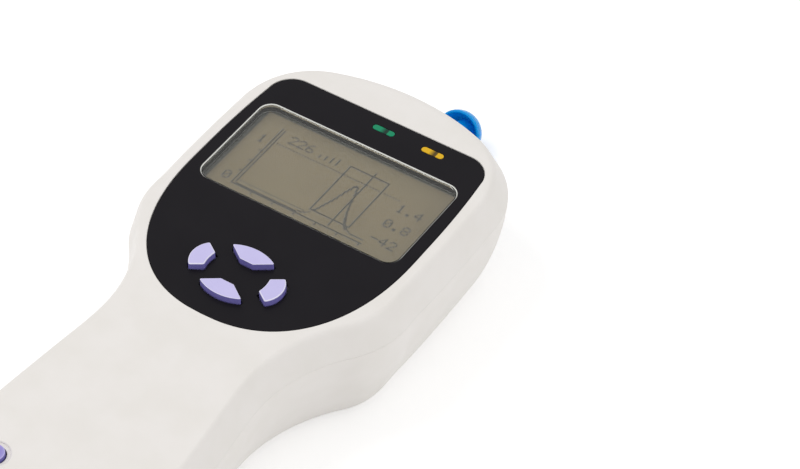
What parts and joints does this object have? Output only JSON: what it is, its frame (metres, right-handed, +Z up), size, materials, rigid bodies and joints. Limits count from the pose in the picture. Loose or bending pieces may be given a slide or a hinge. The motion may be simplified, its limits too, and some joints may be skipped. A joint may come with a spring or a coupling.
{
  "type": "handheld tympanometer",
  "caption": "Handheld middle-ear analyser with a waisted white housing, a black panel with display and keys, a tilted probe with a soft ear tip, and an air pump inside.",
  "frame": {"origin": "middle of the overall length and width, on the rest face under the hull", "axes": "+X to the right across the display, +Y from the battery end towards the probe, +Z up out of the front panel"},
  "size_m": [0.0804, 0.215, 0.0416],
  "materials": {
    "housing": "fine spark-eroded texture, satin",
    "panel": "hard-coated, glossy",
    "window": "clear polished acrylic",
    "green_lens": "clear tinted green",
    "amber_lens": "clear tinted amber",
    "lcd": "olive-grey liquid crystal with a dot graph",
    "lcd_frame": "black painted sheet",
    "light_guide": "milky acrylic",
    "key": "satin lavender",
    "power_key": "satin violet",
    "key_mat": "moulded silicone",
    "switch_dome": "snap dome",
    "board": "green solder mask",
    "chips": "black mould compound",
    "leds": "ceramic body with a clear lens",
    "screws": "zinc plated",
    "beeper": "moulded black",
    "sensor": "moulded ivory",
    "infrared": "dark red, lets infrared through",
    "emitter": "board with clear diode",
    "holder": "moulded black",
    "cell": "printed sleeve, plain",
    "contacts": "nickel plated",
    "bracket": "folded sheet",
    "motor": "drawn can",
    "brass": "turned",
    "shaft": "ground",
    "cylinder": "clear moulding",
    "piston": "natural acetal",
    "seal": "nitrile",
    "hose": "translucent silicone",
    "core": "dark grey moulding",
    "transducer": "drawn shell",
    "nose_cone": "satin white",
    "probe_tip": "clear moulding",
    "ear_tip": "soft translucent silicone"
  },
  "bodies": {
    "housing": {"front_shell": "housing", "rear_shell": "housing", "housing_screws": "screws", "infrared_window": "infrared", "infrared_emitter": "emitter", "front_panel": "panel", "display_window": "window", "green_lens": "green_lens", "amber_lens": "amber_lens", "lcd_glass": "lcd", "lcd_frame": "lcd_frame", "backlight": "light_guide", "key_mat": "key_mat", "key_switches": "switch_dome", "main_board": "board", "board_chips": "chips", "status_leds": "leds", "board_screws": "screws", "beeper": "beeper", "pressure_sensor": "sensor", "power_board": "board", "battery_holder": "holder", "battery_cell_1": "cell", "battery_cell_2": "cell", "battery_cell_3": "cell", "battery_cell_4": "cell", "battery_springs": "contacts", "battery_plates": "contacts", "pump_bracket": "bracket", "bracket_screws": "screws", "pump_motor": "motor", "pump_guide": "shaft", "pump_cylinder": "cylinder", "pump_tube": "hose", "sensor_tube": "hose", "probe_core": "core", "probe_nut": "shaft", "receiver": "transducer", "microphone": "transducer", "probe_seal": "seal", "probe_tip": "probe_tip"},
    "cover": {"battery_cover": "housing"},
    "up_key": {"up_key": "key"},
    "down_key": {"down_key": "key"},
    "left_key": {"left_key": "key"},
    "right_key": {"right_key": "key"},
    "power_key": {"power_key": "power_key"},
    "screw": {"pump_screw": "shaft", "pump_coupling": "brass"},
    "piston": {"pump_piston": "piston", "piston_seal": "seal"},
    "nose_cone": {"nose_cone": "nose_cone"},
    "ear_tip": {"ear_tip": "ear_tip"}
  },
  "joints": [
    {"name": "up_key_press", "type": "slide", "parent": "housing", "child": "up_key", "axis": [0, 0, -1], "range_m": [0, 0.0008], "stiffness_N_per_m": 600, "springref_m": -0.0005},
    {"name": "down_key_press", "type": "slide", "parent": "housing", "child": "down_key", "axis": [0, 0, -1], "range_m": [0, 0.0008], "stiffness_N_per_m": 600, "springref_m": -0.0005},
    {"name": "left_key_press", "type": "slide", "parent": "housing", "child": "left_key", "axis": [0, 0, -1], "range_m": [0, 0.0008], "stiffness_N_per_m": 600, "springref_m": -0.0005},
    {"name": "right_key_press", "type": "slide", "parent": "housing", "child": "right_key", "axis": [0, 0, -1], "range_m": [0, 0.0008], "stiffness_N_per_m": 600, "springref_m": -0.0005},
    {"name": "power_key_press", "type": "slide", "parent": "housing", "child": "power_key", "axis": [0, 0, -1], "range_m": [0, 0.0008], "stiffness_N_per_m": 600, "springref_m": -0.0005},
    {"name": "cover_slide", "type": "slide", "parent": "housing", "child": "cover", "axis": [0, -1, 0], "range_m": [0, 0.007]},
    {"name": "screw_turn", "type": "hinge", "parent": "housing", "child": "screw", "pos_m": [0, 0, 0.0135], "axis": [0, 1, 0], "range_deg": [-550, 550]},
    {"name": "piston_travel", "type": "slide", "parent": "housing", "child": "piston", "axis": [0, 1, 0], "range_m": [-0.006, 0.006]},
    {"name": "nose_cone_turn", "type": "hinge", "parent": "housing", "child": "nose_cone", "pos_m": [0, 0.07999, 0.0174], "axis": [0, 0.8988, -0.4384], "range_deg": [0, 360]},
    {"name": "ear_tip_pull", "type": "slide", "parent": "housing", "child": "ear_tip", "axis": [0, 0.8988, -0.4384], "range_m": [0, 0.012]}
  ],
  "couplings": [
    {"joint": "screw_turn", "follows": "piston_travel", "rad_per_m": -1570.8}
  ]
}
